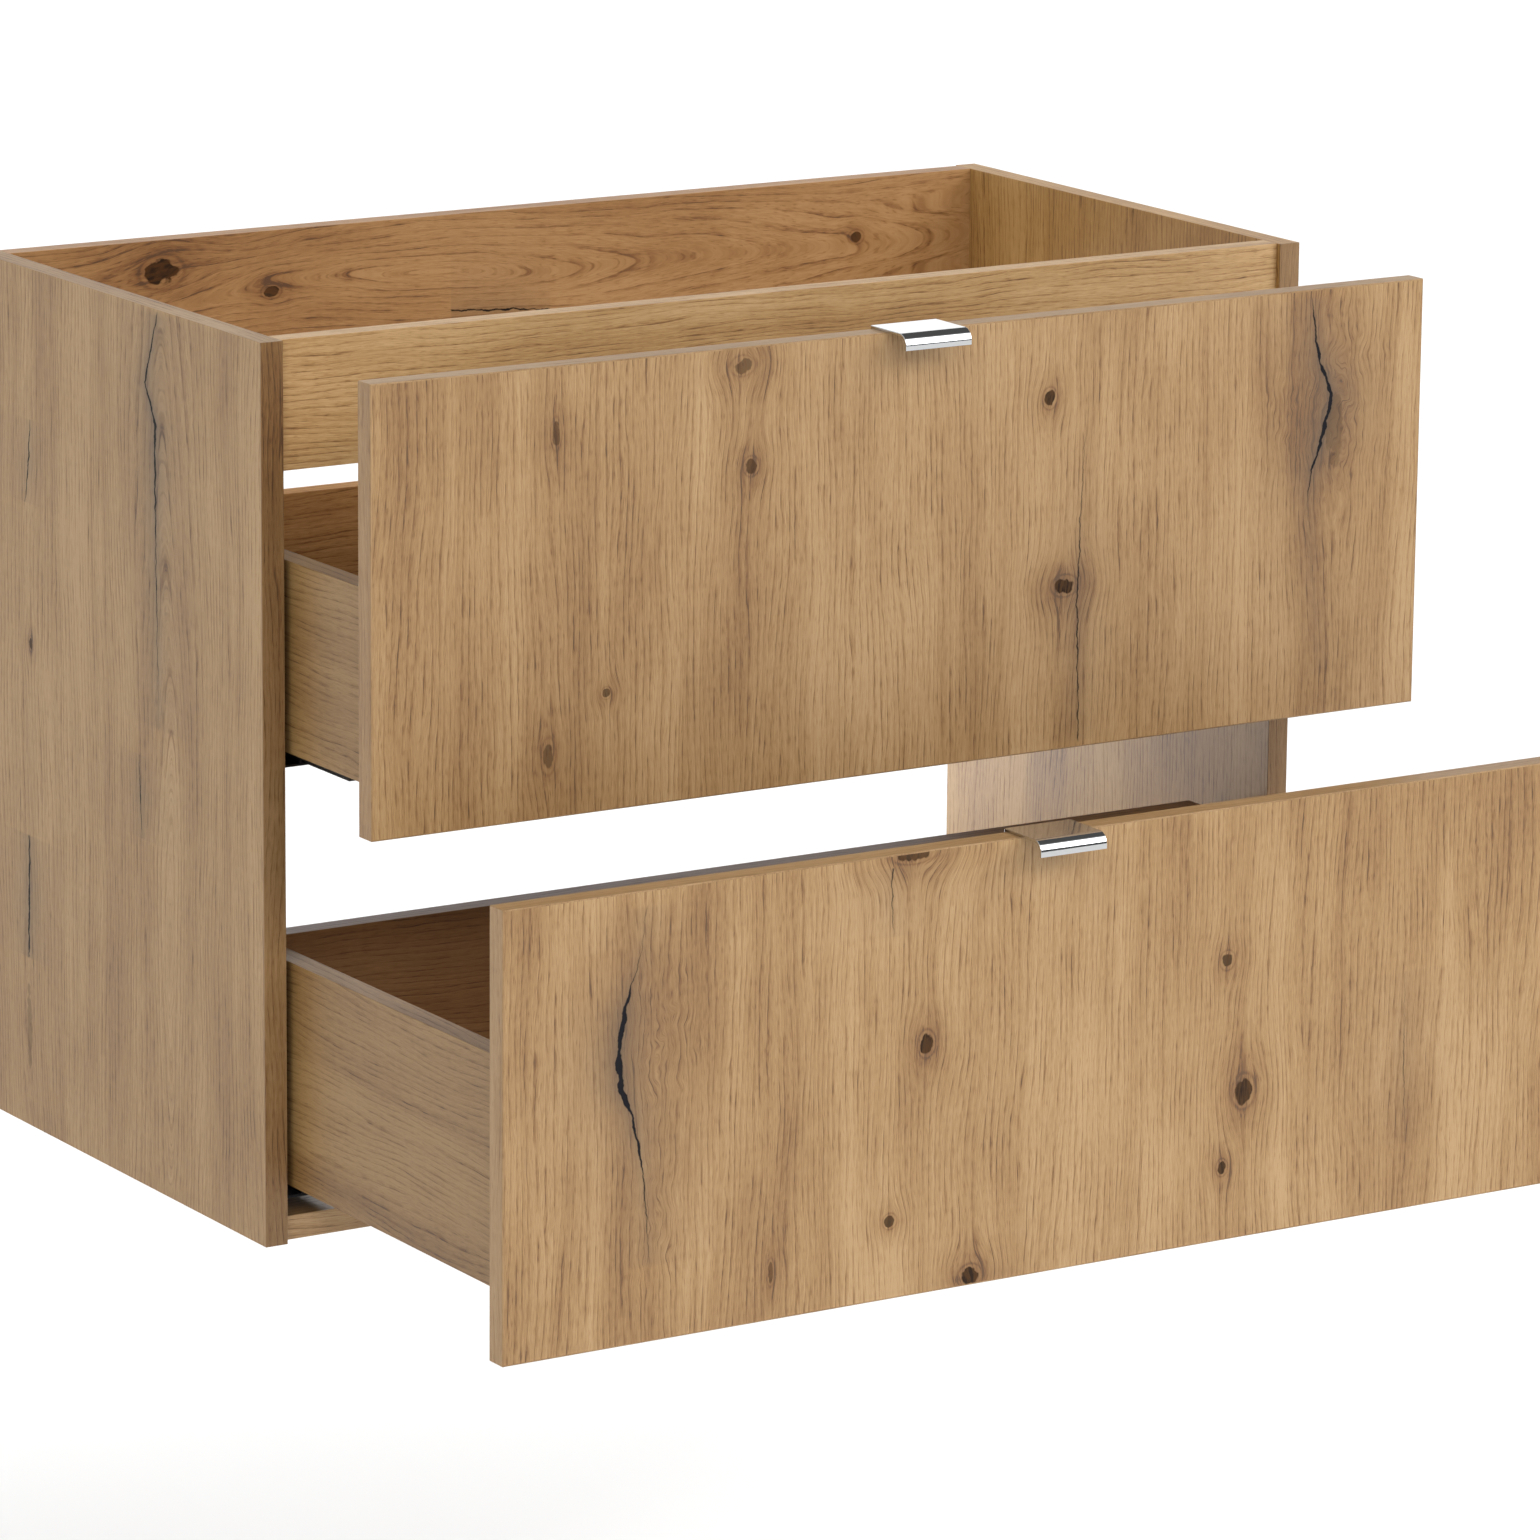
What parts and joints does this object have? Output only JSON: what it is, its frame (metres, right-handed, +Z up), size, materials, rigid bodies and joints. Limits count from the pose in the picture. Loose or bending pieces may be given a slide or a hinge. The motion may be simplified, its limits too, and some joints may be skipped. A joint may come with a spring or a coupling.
{
  "type": "bathroom vanity cabinet",
  "caption": "Wall-hung bathroom vanity cabinet with drawers on undermount runners, knotty oak boards, open top and back for the basin, and chrome edge pulls.",
  "frame": {"origin": "midway between the two wall fixings, in the plane of the wall", "axes": "+X along the cabinet's width to the viewer's right, +Y into the wall, +Z up"},
  "size_m": [0.8, 0.7265, 0.59],
  "materials": {
    "oak_front": "knotty oak decor, vertical grain, satin",
    "oak_side": "knotty oak decor, vertical grain, satin",
    "oak_rail": "knotty oak decor, horizontal grain, satin",
    "oak_box": "knotty oak decor, horizontal grain, satin",
    "oak_band": "oak edge band, satin",
    "beech": "fluted beech, raw",
    "chrome": "polished",
    "dark_steel": "black coated steel, satin",
    "zinc_steel": "zinc plated",
    "black_plastic": "black, satin"
  },
  "bodies": {
    "cabinet": {"back_rail": "oak_rail", "bottom_back_rail": "oak_rail", "bottom_front_rail": "oak_rail", "cam_bolts": "zinc_steel", "cam_locks": "zinc_steel", "dowels": "beech", "front_rail": "oak_rail", "hanger_plate_screws": "zinc_steel", "hanger_plates": "zinc_steel", "lower_left_runner_rail": "dark_steel", "lower_right_runner_rail": "dark_steel", "runner_screws": "zinc_steel", "side_edge_bands": "oak_band", "side_left": "oak_side", "side_right": "oak_side", "upper_left_runner_rail": "dark_steel", "upper_right_runner_rail": "dark_steel"},
    "upper_runner_middles": {"upper_left_runner_middle": "dark_steel", "upper_right_runner_middle": "dark_steel"},
    "upper_drawer": {"upper_box_dowels": "beech", "upper_cam_bolts": "zinc_steel", "upper_cam_locks": "zinc_steel", "upper_clip_screws": "zinc_steel", "upper_drawer_back_left": "oak_box", "upper_drawer_back_right": "oak_box", "upper_drawer_bottom": "oak_box", "upper_drawer_front": "oak_front", "upper_drawer_side_left": "oak_box", "upper_drawer_side_right": "oak_box", "upper_front_bands": "oak_band", "upper_handle": "chrome", "upper_handle_screws": "zinc_steel", "upper_left_runner_slide": "dark_steel", "upper_right_runner_slide": "dark_steel", "upper_runner_clips": "black_plastic", "upper_trap_wall_front": "oak_box", "upper_trap_wall_left": "oak_box", "upper_trap_wall_right": "oak_box"},
    "lower_runner_middles": {"lower_left_runner_middle": "dark_steel", "lower_right_runner_middle": "dark_steel"},
    "lower_drawer": {"lower_box_dowels": "beech", "lower_cam_bolts": "zinc_steel", "lower_cam_locks": "zinc_steel", "lower_clip_screws": "zinc_steel", "lower_drawer_back": "oak_box", "lower_drawer_bottom": "oak_box", "lower_drawer_front": "oak_front", "lower_drawer_side_left": "oak_box", "lower_drawer_side_right": "oak_box", "lower_front_bands": "oak_band", "lower_handle": "chrome", "lower_handle_screws": "zinc_steel", "lower_left_runner_slide": "dark_steel", "lower_right_runner_slide": "dark_steel", "lower_runner_clips": "black_plastic"}
  },
  "joints": [
    {"name": "upper_drawer_slide", "type": "slide", "parent": "cabinet", "child": "upper_drawer", "axis": [0, -1, 0], "range_m": [-0.123, 0.227]},
    {"name": "upper_runner_slide", "type": "slide", "parent": "cabinet", "child": "upper_runner_middles", "axis": [0, -1, 0], "range_m": [-0.0615, 0.1135]},
    {"name": "lower_drawer_slide", "type": "slide", "parent": "cabinet", "child": "lower_drawer", "axis": [0, -1, 0], "range_m": [-0.285, 0.065]},
    {"name": "lower_runner_slide", "type": "slide", "parent": "cabinet", "child": "lower_runner_middles", "axis": [0, -1, 0], "range_m": [-0.1425, 0.0325]}
  ],
  "couplings": [
    {"joint": "upper_runner_slide", "follows": "upper_drawer_slide", "ratio": 0.5},
    {"joint": "lower_runner_slide", "follows": "lower_drawer_slide", "ratio": 0.5}
  ]
}
